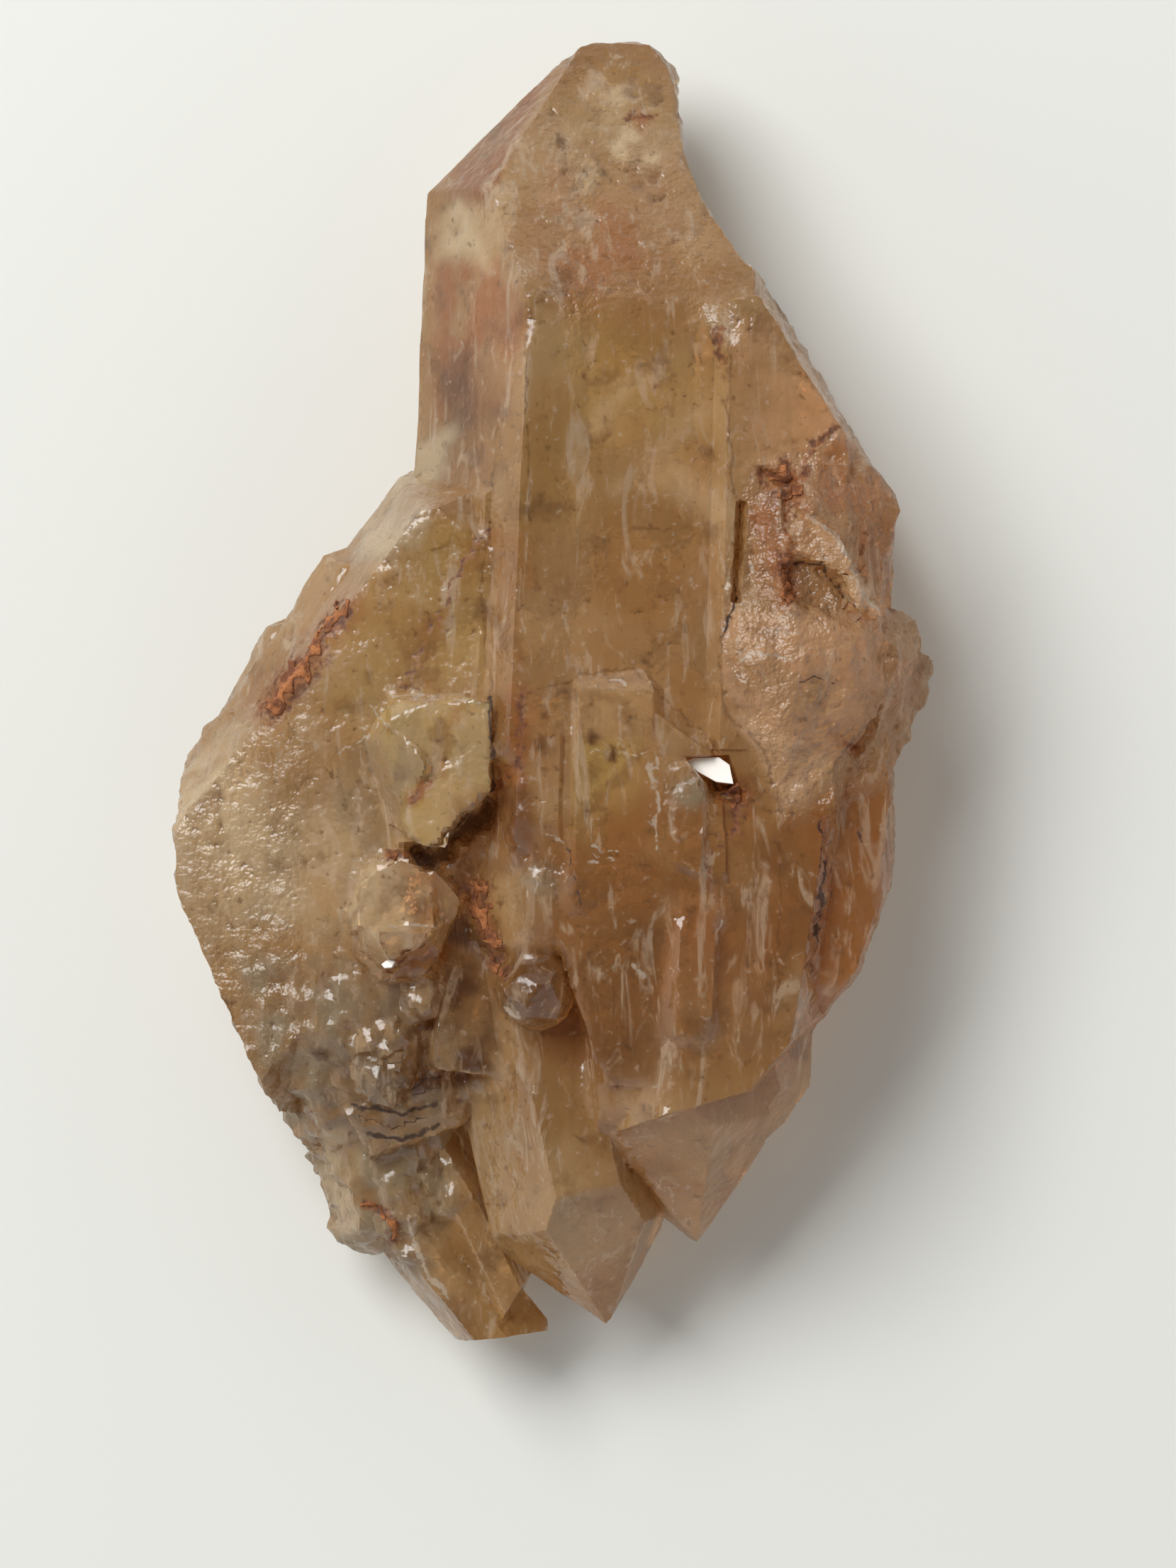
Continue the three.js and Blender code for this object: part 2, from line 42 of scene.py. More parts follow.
# The camera looks straight down. Patches and stains are placed by where they are seen from there,
# in millimetres on the plane MIDDLE_HEIGHT above the floor. SHIFT is the middle of the stone there.
SHIFT = (0.510, -0.163)
CAMERA_OVER = (1.472 + SHIFT[0], -4.698 + SHIFT[1])
MIDDLE_HEIGHT = 8.1
CAMERA_DISTANCE = 250.0
FRAME_HEIGHT = 83.47
SENSOR = 36

# How far the edges of the patches wander, and over what length, in millimetres
SWAY = 0.28
SWAY_LENGTH = 0.9

# Edges sharper than this, in degrees, are shaded as edges
SHARP_ANGLE = 32

# The most that a corner may sink onto a facet, in millimetres
FACET_FALL = 1.6

# Tints, as linear colours. Some are painted light and shade: painted shadow, painted shade and painted glints.
TAN = (0.54, 0.305, 0.11)
SAND = (0.67, 0.435, 0.20)
HONEY = (0.69, 0.47, 0.14)
OCHRE = (0.44, 0.205, 0.062)
MAUVE = (0.54, 0.225, 0.075)
ROSE = (0.90, 0.54, 0.27)
GREY = (0.48, 0.40, 0.25)
MILK = (1.0, 0.77, 0.45)
# Smoky brown, also painted shade
SMOKE_AND_SHADE = (0.15, 0.072, 0.027)
STAIN = (0.47, 0.15, 0.03)
VEIL = (0.88, 0.70, 0.48, 1)
SHADE = (0.24, 0.125, 0.05, 1)
PALE_SPECK = (0.9, 0.74, 0.55, 1)
DARK_SPECK = (0.16, 0.08, 0.03, 1)
SEAM = (0.12, 0.055, 0.02, 1)
# Near black, for cracks and for painted shadow in crevices
CRACK_AND_SHADOW = (0.03, 0.013, 0.006, 1)
# Pale chipped edges and painted highlights
CHIP_AND_GLINT = (0.95, 0.85, 0.68, 1)
DEEP_CLAY_FILM = (0.16, 0.045, 0.012, 1)
CLAY_FILM = (0.50, 0.18, 0.045, 1)
DEEP_CLAY = (0.15, 0.045, 0.014, 1)
DRY_CLAY = (0.40, 0.145, 0.045, 1)
CLAY_PITS = (0.12, 0.035, 0.01, 1)
# Painted glints, reflections of the light
GLINT = (0.95, 0.88, 0.78, 1)
BRIGHT_GLINT = (1.0, 0.97, 0.92, 1)
PAPER = (0.80, 0.805, 0.76, 1)

# Optics of quartz. The absorption tints light by how deep it goes.
QUARTZ_IOR = 1.544
SEE_THROUGH = 0.65
DEPTH_TINT = (0.86, 0.62, 0.36, 1)
DEPTH_DENSITY = 60.0

# The rise per mm along x and y of the white plates, which are painted glints: reflections of the light
GLINT_TILT = (0.1, -0.15)

# The clay crust. It lies on lines whose half width is over CRUST_HALF_WIDTH, and reaches CRUST_REACH
# half widths from them.
CRUST_HALF_WIDTH = 0.25
CRUST_REACH = 1.6
CLAY_GRAIN = 0.55
CLAY_FRAY = 1.1
CLAY_LEAST = 0.75
CLAY_THICKNESS = 0.12

# The window that lights the stone
WINDOW_PLACE = (-0.35, 0.35, 0.6)
WINDOW_SIZE = (0.5, 0.4)
WINDOW_POWER = 5.75


def only(piece):
    bpy.ops.object.select_all(action="DESELECT")
    piece.select_set(True)
    bpy.context.view_layer.objects.active = piece


def apply_modifiers(piece):
    only(piece)
    for modifier in list(piece.modifiers):
        bpy.ops.object.modifier_apply(modifier=modifier.name)


def smooth_step(low, high, value):
    t = np.clip((value - low) / (high - low), 0, 1)
    return t * t * (3 - 2 * t)


def quartz_body():
    """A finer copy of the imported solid, with its worn edges a little rounded."""
    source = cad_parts["crystal_cluster"]
    piece = source.copy()
    piece.data = source.data.copy()
    piece.name = "quartz_crystals"
    bpy.context.scene.collection.objects.link(piece)
    for key in [k for k in piece.keys() if k.startswith("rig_")]:
        del piece[key]
    only(piece)
    bpy.ops.object.mode_set(mode="EDIT")
    bpy.ops.mesh.select_all(action="SELECT")
    bpy.ops.mesh.remove_doubles(threshold=0.005 * MM)
    bpy.ops.object.mode_set(mode="OBJECT")
    remesh = piece.modifiers.new("fine", "REMESH")
    remesh.mode = "SHARP"
    remesh.octree_depth = 8
    remesh.scale = 0.95
    remesh.sharpness = 1.0
    remesh.use_remove_disconnected = True
    remesh.threshold = 0.05
    worn = piece.modifiers.new("worn", "SMOOTH")
    worn.factor = 0.4
    worn.iterations = 2
    apply_modifiers(piece)
    return piece


class Surface:
    """Where each corner of a mesh is seen from above, in millimetres, and which way it faces."""

    def __init__(self, piece):
        self.piece = piece
        self.normal = self.read("normal")
        self.place = self.read("co") / MM
        nearer = CAMERA_DISTANCE / (CAMERA_DISTANCE - (self.place[:, 2] - MIDDLE_HEIGHT))
        sway = np.array([noise.noise_vector(Vector(corner) / SWAY_LENGTH) for corner in self.place]) * SWAY
        self.x = CAMERA_OVER[0] + (self.place[:, 0] - CAMERA_OVER[0]) * nearer - SHIFT[0] + sway[:, 0]
        self.y = CAMERA_OVER[1] + (self.place[:, 1] - CAMERA_OVER[1]) * nearer - SHIFT[1] + sway[:, 1]
        self.front = smooth_step(-0.1, 0.25, self.normal[:, 2])

    def read(self, what):
        """A vector of each corner, as rows."""
        values = np.empty(3 * len(self.piece.data.vertices), np.float32)
        self.piece.data.vertices.foreach_get(what, values)
        return values.reshape(-1, 3).astype(float)

    def raise_by(self, heights):
        """Lifts the corners straight up."""
        self.place[:, 2] += heights
        self.piece.data.vertices.foreach_set("co", (self.place * MM).astype(np.float32).ravel())
        self.piece.data.update()

    def facet(self, soft, tilt, *corners, lift=0.0, most=0.7):
        """Brings the seen surface inside some corners onto one plane. tilt is its rise per mm along x and y,
        and most is how far a corner may rise.
        """
        mask = self.area(soft, *corners)
        x, y, z = [(mask * value).sum() / mask.sum() for value in (self.x, self.y, self.place[:, 2])]
        rise = z + lift + tilt[0] * (self.x - x) + tilt[1] * (self.y - y) - self.place[:, 2]
        self.raise_by(mask * np.clip(rise, -FACET_FALL, most))
        return z + lift

    def to_segment(self, a, b):
        """How far each corner is from a line between two points."""
        dx, dy = b[0] - a[0], b[1] - a[1]
        t = np.clip(((self.x - a[0]) * dx + (self.y - a[1]) * dy) / (dx * dx + dy * dy), 0, 1)
        return np.hypot(self.x - a[0] - t * dx, self.y - a[1] - t * dy)

    def patch(self, x, y, across, along, turn=0.0, soft=0.5):
        """An oval with its middle at x, y. turn is clockwise, in degrees."""
        c, s = math.cos(math.radians(turn)), math.sin(math.radians(turn))
        u = (self.x - x) * c - (self.y - y) * s
        v = (self.x - x) * s + (self.y - y) * c
        return (1 - smooth_step(1 - soft, 1 + soft, np.hypot(u / across, v / along))) * self.front

    def stroke(self, width, *points, soft=0.5):
        """A band along a line of points."""
        away = np.min([self.to_segment(a, b) for a, b in zip(points, points[1:])], axis=0)
        return (1 - smooth_step(width / 2 - soft / 2, width / 2 + soft / 2, away)) * self.front

    def area(self, soft, *corners):
        """The inside of a polygon, with a soft edge."""
        ring = list(zip(corners, corners[1:] + corners[:1]))
        edge = np.min([self.to_segment(a, b) for a, b in ring], axis=0)
        inside = np.zeros(len(self.x), bool)
        for (ax, ay), (bx, by) in ring:
            if ay != by:
                level = (ay > self.y) != (by > self.y)
                inside ^= level & (self.x < (bx - ax) * (self.y - ay) / (by - ay) + ax)
        return smooth_step(-soft / 2, soft / 2, np.where(inside, edge, -edge)) * self.front

    def keep(self, name, values):
        """Stores a mask on the mesh for its material."""
        attribute = self.piece.data.attributes.new(name, "FLOAT", "POINT")
        attribute.data.foreach_set("value", values.astype(np.float32))

    def draw(self, name, *lines):
        """Stores the way to the nearest of some lines and that line's half width, in millimetres.

        Each line is (half width, point, point, ...). Far from them all the stored way also points up,
        so that it is never short between two lines. The result is above 0 on and near the wide lines.
        """
        best = np.full(len(self.x), 1e6)
        way = np.zeros((len(self.x), 3))
        width = np.ones(len(self.x))
        for half, *points in lines:
            for a, b in zip(points, points[1:]):
                dx, dy = b[0] - a[0], b[1] - a[1]
                t = np.clip(((self.x - a[0]) * dx + (self.y - a[1]) * dy) / (dx * dx + dy * dy), 0, 1)
                u, v = self.x - a[0] - t * dx, self.y - a[1] - t * dy
                closer = np.hypot(u, v) < best
                best[closer] = np.hypot(u, v)[closer]
                way[closer, 0], way[closer, 1], width[closer] = u[closer], v[closer], half
        way[:, 2] = np.maximum(0, best - 0.8) + 1 - self.front
        attribute = self.piece.data.attributes.new(name, "FLOAT_VECTOR", "POINT")
        attribute.data.foreach_set("vector", way.astype(np.float32).ravel())
        attribute = self.piece.data.attributes.new(name + "_width", "FLOAT", "POINT")
        attribute.data.foreach_set("value", width.astype(np.float32))
        return self.front * np.where(width > CRUST_HALF_WIDTH, CRUST_REACH - best / width, -9)

    def colour(self, name, start, *layers):
        """Mixes colours over one another, each by its amount, and stores the result."""
        mix = np.tile(np.array(start, float), (len(self.x), 1))
        for tint, amount in layers:
            mix += np.clip(amount, 0, 1)[:, None] * (np.array(tint) - mix)
        attribute = self.piece.data.attributes.new(name, "FLOAT_COLOR", "POINT")
        attribute.data.foreach_set("color", np.c_[mix, np.ones(len(mix))].astype(np.float32).ravel())

    def weights(self, name, values):
        """Stores a mask as weights for a modifier."""
        group = self.piece.vertex_groups.new(name=name)
        steps = 20
        nearest = np.round(np.clip(values, 0, 1) * steps).astype(int)
        for step in range(1, steps + 1):
            chosen = np.flatnonzero(nearest == step)
            if len(chosen):
                group.add(chosen.tolist(), step / steps, "REPLACE")


def relief(piece, name, kind, size, height):
    """Raises and sinks the surface where the weights called name are."""
    texture = bpy.data.textures.new(name, kind)
    texture.noise_scale = size * MM
    modifier = piece.modifiers.new(name, "DISPLACE")
    modifier.texture = texture
    modifier.texture_coords = "LOCAL"
    modifier.strength = height * MM
    modifier.mid_level = 0.5
    modifier.vertex_group = name
    apply_modifiers(piece)


quartz = quartz_body()
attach(quartz, "root")
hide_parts("crystal_cluster")

surface = Surface(quartz)
area, patch, stroke = surface.area, surface.patch, surface.stroke

# Straight steps between crystals that look worn in the photo
surface.weights("worn_steps", np.max([
    stroke(2.4, (5.0, -11.0), (8.9, -11.0)), stroke(2.0, (0.4, -10.7), (4.8, -10.7)),
    stroke(2.6, (4.8, -18.6), (9.0, -18.6)), stroke(2.6, (0.4, -21.0), (5.2, -21.0)),
    stroke(2.4, (-7.2, -20.3), (-2.8, -20.3)),
    stroke(1.8, (-3.3, -3.5), (-1.5, -3.5)), stroke(1.8, (-3.5, -8.6), (-1.2, -8.6)),
    stroke(1.8, (-5.0, -13.6), (0.4, -13.6)), stroke(2.0, (-2.5, 20), (9.4, 20)),
    stroke(1.6, (4.6, -3.0), (4.6, -9.0)), stroke(1.4, (5.3, -11), (5.3, -18)),
], axis=0))
worn_steps = quartz.modifiers.new("worn_steps", "SMOOTH")
worn_steps.factor = 0.5
worn_steps.iterations = 45
worn_steps.vertex_group = "worn_steps"
apply_modifiers(quartz)
surface.place = surface.read("co") / MM

# Outlines seen from above, in millimetres
tip_facet = [(-6.9, 26.7), (-0.4, 33.6), (-4.0, 26.2)]
low_prism = [(-12.7, -22.8), (-10.7, -22.8), (-10.6, -28.7), (-12.7, -28.7)]
window_left = [
    (-9.04, -1.6), (-6.95, -3.6), (-8.0, -5.6), (-8.7, -7.5), (-10.6, -8.2), (-12.0, -6), (-12.1, -3.1),
]
stub_top = [(-9.5, -8.3), (-7.8, -8.3), (-6.9, -9.1), (-7.0, -12.4), (-11.3, -12.4), (-10.4, -10)]
stub_side = [(-6.85, -9.0), (-4.95, -10.7), (-5.3, -11.5), (-5.9, -12.2), (-6.9, -12.4)]
stub_front = [(-9.7, -12.5), (-6.7, -12.6), (-7.4, -13.6), (-9.2, -14.1), (-9.6, -13.5)]
stub_foot = [(-9.3, -14.4), (-7.4, -13.9), (-6.6, -13.1), (-6.6, -14.6), (-7.5, -15.3), (-9.4, -15.1)]
pink_slab = [(8.8, 4.6), (8.4, 0), (8.9, -1.4), (10.8, -3), (11.8, -6.2), (14.9, -3), (17.6, 1.4), (17.4, 4.8)]
window_face = [
    (-9.0, 0.1), (-3.9, -0.4), (-3.6, -5.3), (-5.3, -6.6), (-5.9, -7.6), (-7.0, -8.4),
    (-8.7, -7.6), (-8.0, -5.6), (-6.95, -3.6), (-9.04, -1.6),
]
# Where the white plates of painted glints lie: a reflection on a flat facet and a glint on the stub
reflection_leaf = [(6.7, -3.5), (7.1, -3.35), (8.45, -3.3), (9.0, -3.7), (9.2, -4.7), (8.3, -4.6), (7.3, -4.05)]
glint = [(-9.5, -14.3), (-9.15, -14.05), (-8.8, -14.15), (-8.95, -14.45), (-9.35, -14.5)]
ledge = [
    (11.6, 11.0), (12.9, 9.8), (14.6, 8.5), (15.4, 7.2), (16.5, 5.5), (16.9, 3.9), (16.2, 4.3), (15.2, 4.9),
    (15.2, 5.8), (14.6, 6.4), (13.8, 7.2), (12.7, 7.3), (12.3, 8.2), (12.0, 9.6),
]
hollow = [(12.1, 7.1), (13.8, 7.0), (14.5, 6.2), (15.0, 5.2), (14.3, 4.3), (12.9, 4.9), (12.0, 5.3)]

# Facets and hollows finer than the solid's
surface.facet(0.3, (0.06, 0.0), *window_face)
surface.facet(0.25, (-0.12, 0.08), *stub_top)
surface.facet(0.25, (-0.5, 0.1), *stub_side)
surface.facet(0.25, (0.05, 0.35), *stub_front)
surface.facet(0.25, (0.0, 0.5), *stub_foot, lift=-0.4)
surface.facet(0.3, (0.1, -0.05), *ledge, lift=0.3)
surface.facet(0.4, (0.0, 0.1), *hollow, lift=-0.55)
leaf_height = surface.facet(0.25, GLINT_TILT, *reflection_leaf, lift=0.9, most=3.0)
glint_height = surface.facet(0.2, GLINT_TILT, *glint, lift=0.2)
crevice = [
    (-3.8, -5.9), (-4.3, -6.8), (-4.9, -6.6), (-5.3, -7.4), (-5.9, -7.6), (-6.1, -8.5), (-6.8, -8.5), (-7.1, -8.9),
    (-7.6, -8.3),
]
surface.raise_by(-np.max([
    1.3 * stroke(0.75, *crevice, soft=0.4),
    0.9 * stroke(0.7, (7.9, -4.7), (8.7, -5.2), (9.4, -5.4), soft=0.4),
    0.6 * stroke(0.4, (-9.1, -14.2), (-7.6, -13.7), (-6.7, -13.0), soft=0.35),
    0.5 * stroke(0.5, (12.6, 7.2), (13.8, 7.0), (14.6, 6.2), (15.2, 5.0), soft=0.4),
    0.45 * stroke(0.5, (10.7, 11.8), (12.4, 11.2), (12.2, 9.4), soft=0.5),
], axis=0))

# Where the quartz is etched, worn, granular or covered in tiny crystals
etched = area(
    2.5, (-3.5, 26), (-0.4, 33), (2, 35), (6, 34), (7, 28), (14, 16), (10, 18.5), (5, 21), (1, 19), (-2, 21.5)
)
sugary = area(3.0, (-14, 5), (-18, -1), (-22, -8), (-21, -16), (-14, -27), (-11, -20), (-14, -12), (-13, -4))
granular = area(1.5, (8.4, 3), (10, 12), (16, 15), (19, 10), (21, 3), (20, -4), (12, -7))
sparkly = area(2.0, (-17, -14), (-8, -14), (-4, -20), (-7, -31), (-14, -30), (-16, -20))
bumpy = np.maximum(
    area(1.0, (4.6, -3), (8.6, -4), (8.6, -9), (4.6, -9)),
    area(0.6, (-11.4, -9.4), (-8, -8.2), (-5, -10.8), (-6.4, -14.6), (-10.6, -14.8)),
)
# Broken sides of the stone, seen edge on
side = 1 - smooth_step(0.35, 0.75, np.abs(surface.normal[:, 2]))
ragged = np.max([
    area(1.0, (-13, 6), (-23, -2), (-23, -18), (-14, -36), (-9, -26), (-15, -14), (-15, -2)),
    area(1.0, (-3, 37), (9, 37), (9, 26), (16, 14), (11, 14), (5, 26), (3, 33), (-3, 34)),
    area(1.0, (14.5, 6), (23, 6), (22, -6), (12, -20), (12, -8)),
], axis=0) / np.maximum(surface.front, 0.05)
for name, mask, kind, size, height in [
    ("everywhere", np.ones(len(surface.x)), "CLOUDS", 2.6, 0.2),
    ("ragged", side * np.clip(ragged, 0, 1), "CLOUDS", 1.5, 0.8),
    ("etched", etched, "CLOUDS", 1.0, 0.22),
    ("sugary", sugary, "CLOUDS", 1.1, 0.25),
    ("granular", granular, "CLOUDS", 0.8, 0.55),
    ("sparkly", sparkly, "VORONOI", 1.0, 0.6),
    ("bumpy", bumpy, "CLOUDS", 0.8, 0.25),
]:
    surface.weights(name, mask)
    relief(quartz, name, kind, size, height)


def joined(*masks):
    """The largest of some masks, from 0 to 1."""
    return np.clip(np.max(masks, axis=0), 0, 1)


# Tints in the quartz, as areas seen from above. The smoky one is partly painted shade.
mauve = joined(
    area(0.6, *tip_facet),
    area(1.2, (-6.8, 23.2), (-3.2, 23.2), (-2.0, 20), (-2.2, 17), (-3.2, 15), (-6.8, 15)),
    patch(1.5, 24.0, 3.2, 2.8, 20) * 0.8,
    patch(4.6, 26.0, 1.8, 3.0) * 0.4,
    area(0.8, (9.8, 10.8), (12.0, 11.6), (12.2, 5.0), (10.4, 5.0)),
    area(0.8, (13.0, 10), (14.5, 14.5), (18.2, 10.5), (15, 9.8)) * 0.8,
    area(1.0, (-5.7, -5.4), (-1.6, -4.2), (-1.4, -9), (-5.8, -10)) * 0.8,
    patch(-0.8, -2.6, 1.0, 2.6) * 0.5,
    patch(-13.8, -2.0, 4.0, 2.0, 40) * 0.3,
    area(1.5, (8.6, 4), (17, 4), (19, 0), (12, -6), (8.8, -1)) * 0.45,
)
honey = joined(
    area(4.0, (-3, 17), (2, 20), (8, 18), (9, 9), (-3, 9)) * 0.4,
    area(0.7, (-9.9, -0.9), (-8.4, 0.3), (-3.8, -0.5), (-3.7, -5.1), (-5.8, -7), (-7.7, -8.2), (-8.4, -7)),
    area(1.5, (-9.9, -0.9), (-8.4, -7.2), (-11.5, -8.0), (-12.2, -3.8)) * 0.5,
    area(0.8, (0.7, -2.4), (4.4, -2.4), (4.4, -10.7), (0.7, -10.7)) * 0.8,
    area(3.0, (-9, 7), (-4, 11), (-3.5, 1), (-9, 0), (-14, -2)) * 0.5,
    patch(3.0, 32.0, 3.0, 2.0) * 0.5,
)
milk = joined(
    area(1.6, (-6.4, 23.4), (-6.4, 25.6), (-5.3, 26.4), (-4.4, 25.2), (-3.8, 22.6), (-5.0, 23.6)),
    patch(-5.2, 25.3, 0.7, 0.8, soft=0.8),
    patch(4.3, 29.2, 1.8, 1.4, 20) * 0.45,
    patch(3.1, 29.0, 0.5, 0.7, soft=0.4), patch(4.9, 28.8, 0.6, 0.7, soft=0.4), patch(1.4, 27.8, 0.5, 1.0, soft=0.4),
    patch(4.0, 29.9, 1.2, 0.45, soft=0.4), patch(3.2, 31.9, 0.8, 0.5, soft=0.4), patch(0.6, 29.8, 0.5, 0.5),
    patch(2.0, 31.6, 1.6, 0.8, 40) * 0.5,
    patch(-3.2, 25.6, 0.7, 1.6, 10) * 0.5,
    patch(1.2, 29.5, 2.0, 2.2) * 0.3,
    stroke(1.6, (4.8, 12.4), (9.0, 9.4), soft=1.6) * 0.5,
    stroke(0.8, (1.0, 13.6), (4.5, 17.6), soft=1.2) * 0.45,
    stroke(0.8, (3.0, 11.0), (7.6, 15.2), soft=1.2) * 0.45,
    area(0.8, (-10.6, 11.6), (-5.6, 14.5), (-7.5, 8.0), (-10.6, 7.4)) * 0.7,
    patch(-18.6, -6.6, 3.2, 4.8, -10, soft=0.8) * 0.9,
    area(1.5, (-14.5, 1.0), (-18, -6), (-18, -12), (-12, -12), (-10, -6)) * 0.35,
    area(0.8, (9.4, -1.0), (14.5, -3.2), (13.2, -5.6), (11.6, -6.3)) * 0.3,
    area(0.3, *ledge) * 0.45,
    patch(-9.4, -10.8, 2.0, 2.4, 20, soft=0.3),
    area(0.3, *window_face) * 0.35,
    area(0.6, *low_prism) * 0.5,
)
rose = joined(
    area(0.6, *pink_slab) * 0.85,
    area(0.8, (9.2, 20.2), (11.5, 19.6), (16.0, 13.2), (14.6, 13.6), (12.6, 11.8), (9.4, 12)) * 0.75,
    area(0.4, *ledge),
    area(0.8, (5.4, -10.6), (8.5, -10.6), (8.4, -17), (5.6, -17)) * 0.4,
    patch(-0.2, 27.3, 1.6, 1.4) * 0.6,
)
grey = joined(
    area(0.3, *window_face) * 0.25,
    area(0.4, *window_left) * 0.35,
    sparkly * 0.9,
    area(1.0, *low_prism) * 0.9,
    area(1.5, (-14, -4), (-9, -5), (-10, -14), (-17, -12)) * 0.5,
    area(1.0, (-10.8, 11.8), (-5.4, 14.5), (-7.5, 8.0), (-10.8, 7.2)),
    patch(-7.4, -16.1, 1.1, 1.2) * 0.7,
    patch(-1.2, -10.4, 1.2, 1.4) * 0.7,
    patch(7.0, -5.2, 0.9, 0.8),
)
ochre = joined(
    area(2.0, (-0.5, 32), (1.5, 37), (9, 37), (8, 31), (3, 32.5)) * 0.6,
    area(1.0, (-7, 26.7), (-0.4, 33.6), (-4.0, 26.2)) * 0.5,
    area(1.5, (-7, 15), (-3.5, 15), (-4, 9), (-8, 10)) * 0.5,
    patch(17.0, 8.2, 1.6, 3.4, -20),
    patch(-1.35, -15.4, 2.2, 2.2, soft=0.2),
    patch(-9.6, -28.0, 2.4, 1.6, 50),
    area(1.0, (0.6, -9), (4.4, -9), (5, -17), (0, -17)) * 0.8,
    area(3.0, (8.6, 21), (14, 16.5), (18.5, 10), (18.5, 4), (9, 4)) * 0.3,
    area(2.5, (-3, 13.5), (9, 13.5), (9, -3), (3.6, 1), (-2, 0), (-3.8, 0)) * 0.35,
    area(2.5, (8.4, -2), (12, -6), (18.5, -3), (18, -12), (14, -19), (8, -22), (-1, -19), (-2, -8)),
    area(1.0, (-3.9, 9), (-1.9, 9), (-1.8, -4.2), (-3.8, -5.2)) * 0.6,
    area(1.2, (18.0, 2.2), (20.4, 1.9), (20, 0), (18.4, -3.4)) * 0.8,
    patch(6.9, -13.4, 1.4, 3.0) * 0.8,
)
# Smoky brown, partly painted shade: darker in the hollows and in the middle of the clear knob, where shade falls
smoky_and_shaded = joined(
    patch(1.75, -2.2, 0.4, 0.45, soft=0.4), patch(2.7, -3.2, 0.3, 0.5, soft=0.4),
    patch(-0.8, -2.6, 0.4, 0.5, soft=0.4),
    patch(1.8, -4.0, 0.5, 0.7, 30) * 0.5, patch(0.0, 29.5, 0.3, 0.5, soft=0.4) * 0.8,
    patch(-12.8, -19.1, 0.5, 0.4, soft=0.4),
    area(0.5, *hollow) * 0.4,
    area(0.5, *window_left) * 0.25,
    area(0.3, *stub_side) * 0.25,
    area(1.2, (-6.2, -12), (-3.4, -12), (-3.2, -20), (-8.8, -22), (-9, -18), (-6.4, -16)),
    area(3.0, (9, -8), (14, -7), (13, -19), (1, -21), (0.5, -12), (5, -12)) * 0.4,
    area(2.0, (-9, -29.5), (-4, -29.5), (-4, -36), (-8, -36)) * 0.4,
    area(0.8, (-3.8, 0.2), (-1.9, 0.2), (-1.8, -4.2), (-3.8, -5.2)) * 0.4,
    area(1.0, (-5.7, -5.6), (-1.6, -4.2), (-1.2, -9), (-5.8, -10)) * 0.6,
    patch(-4.6, 16.2, 1.8, 2.2) * 0.75,
    area(0.6, *tip_facet) * 0.25,
    patch(-1.35, -15.4, 2.2, 2.2, soft=0.15) * 0.75,
    area(1.6, (-12, -18), (-8, -15), (-5, -22), (-9, -25), (-13, -22)) * 0.45,
)
stained = joined(
    patch(4.3, 30.8, 0.8, 0.4, 70) * 0.6,
    patch(0.0, 27.5, 0.7, 0.7) * 0.4,
    stroke(1.6, (12.4, 11.6), (12.6, 9.4), soft=1.2) * 0.6,
    patch(13.4, 8.4, 1.6, 1.2) * 0.3,
    stroke(1.4, (12.0, 7.4), (12.0, 5.2), soft=0.9) * 0.6,
    stroke(1.7, (-11.4, 4.8), (-13.4, 2.2), (-15.6, -0.7), soft=1.2) * 0.6,
    stroke(1.4, (-4.2, 8.4), (-6.4, 4.6), (-8.3, 0.6), soft=1.2) * 0.35,
    patch(-7.6, 1.4, 1.2, 1.6) * 0.35,
    stroke(0.6, (-7.9, -5.6), (-7.1, -4.6), soft=0.4) * 0.8,
    stroke(0.45, (-5.4, -0.6), (-6.0, -2.2), (-6.4, -3.4), (-6.2, -4.2), soft=0.5) * 0.45,
    stroke(1.2, (-2.3, 0.2), (-2.2, -4.2), soft=0.8) * 0.5,
    patch(-7.4, -10.4, 1.0, 2.0) * 0.5,
    patch(9.5, -5.8, 1.1, 1.6) * 0.6,
    stroke(1.2, (13.9, -6.6), (14.2, -10.8), (13.6, -14.8), soft=0.9) * 0.5,
    patch(16.3, -7.8, 0.8, 1.0) * 0.4,
    patch(7.6, -12.0, 1.4, 1.8) * 0.35,
    stroke(1.0, (-6.6, -13.8), (-9.2, -14.9), soft=0.6) * 0.6,
    patch(15.4, -2.6, 0.9, 0.6, 50) * 0.5,
)
surface.keep("frosted", joined(etched * 0.5, sugary * 0.5, granular))


def uneven(size, least=0.35, low=-0.5, high=0.2):
    """Cloud-like unevenness from least to 1, for each corner of the quartz."""
    clouds = np.array([noise.fractal(Vector(corner) / size, 1.0, 2.0, 4) for corner in surface.place])
    return least + (1 - least) * smooth_step(low, high, clouds)


broad, cloudy, speckled = uneven(7.0), uneven(2.2), uneven(0.7, 0.2)
surface.colour(
    "tint",
    TAN,
    (SAND, uneven(6.0, 0.0, -0.4, 0.4)),
    (HONEY, honey * broad),
    (OCHRE, ochre * broad),
    (MAUVE, mauve * cloudy),
    (ROSE, rose * cloudy),
    (GREY, grey * cloudy),
    (MILK, milk * cloudy),
    (SMOKE_AND_SHADE, smoky_and_shaded * cloudy),
    (STAIN, stained * speckled),
)
